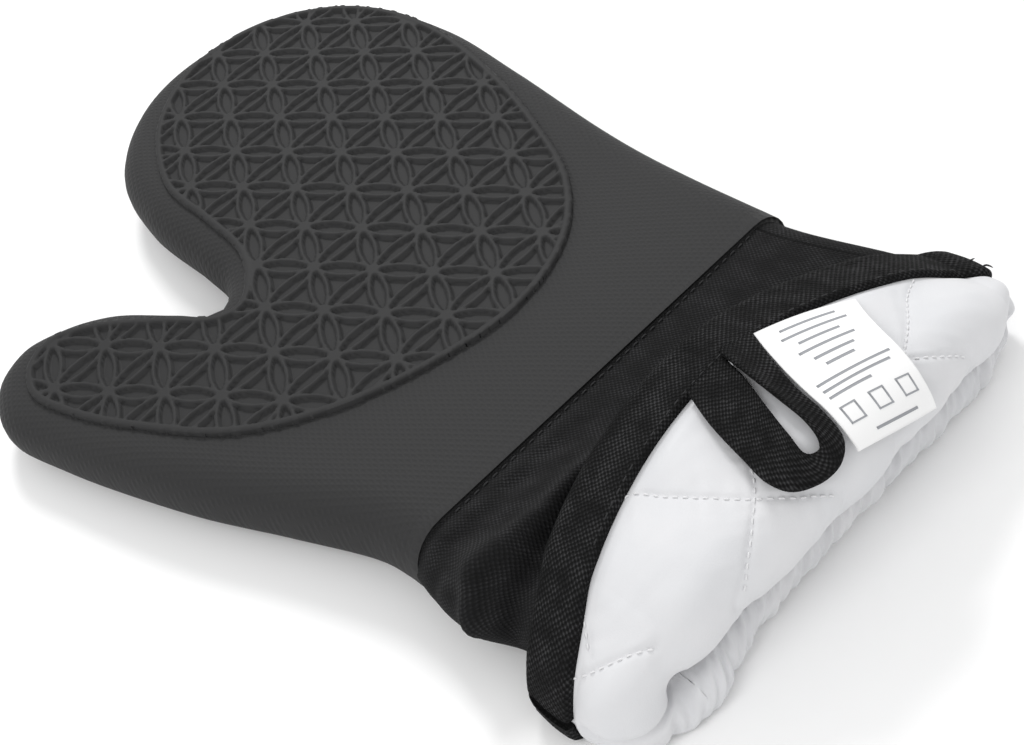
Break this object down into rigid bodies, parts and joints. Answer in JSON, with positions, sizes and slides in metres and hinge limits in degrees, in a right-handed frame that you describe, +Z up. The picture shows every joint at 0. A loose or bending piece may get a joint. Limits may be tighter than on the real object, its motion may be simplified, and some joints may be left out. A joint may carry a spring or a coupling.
{
  "type": "heat resistant oven mitt",
  "caption": "Quilted oven mitt with a ribbed silicone hand, a lined canvas cuff turned back over itself, a bound edge, a hanging loop and a blank care label.",
  "frame": {"origin": "middle of the mitt's box in plan, on the table", "axes": "+Y towards the fingertips, +Z up out of the palm side, thumb towards -X"},
  "size_m": [0.2168, 0.3214, 0.0523],
  "materials": {
    "silicone": "satin charcoal",
    "canvas": "matte woven black",
    "cotton": "matte woven white",
    "wadding": "soft fibre",
    "black_thread": "twisted thread",
    "white_thread": "twisted thread",
    "label_satin": "satin ribbon"
  },
  "bodies": {
    "mitt": {"silicone_shell": "silicone", "hand_wadding": "wadding", "hand_lining": "cotton", "cuff_canvas": "canvas", "cuff_wadding": "wadding", "cuff_lining": "cotton", "binding_over": "canvas", "binding_under": "canvas", "shell_seam_thread": "black_thread", "binding_thread_over": "black_thread", "binding_thread_under": "black_thread", "frayed_thread_1": "black_thread", "frayed_thread_2": "black_thread", "quilting_thread_1": "white_thread", "quilting_thread_2": "white_thread", "quilting_thread_3": "white_thread", "quilting_thread_4": "white_thread", "quilting_thread_5": "white_thread"},
    "loop": {"hanging_loop": "canvas"},
    "label": {"care_label": "label_satin"}
  },
  "joints": [
    {"name": "loop_flip", "type": "hinge", "parent": "mitt", "child": "loop", "pos_m": [0.01928, -0.11876, 0.04952], "axis": [-1, -0.0042, -0.0018], "range_deg": [0, 120]},
    {"name": "label_flip", "type": "hinge", "parent": "mitt", "child": "label", "pos_m": [0.04482, -0.12294, 0.04761], "axis": [-0.9578, 0.2873, 0.0076], "range_deg": [0, 120]}
  ]
}
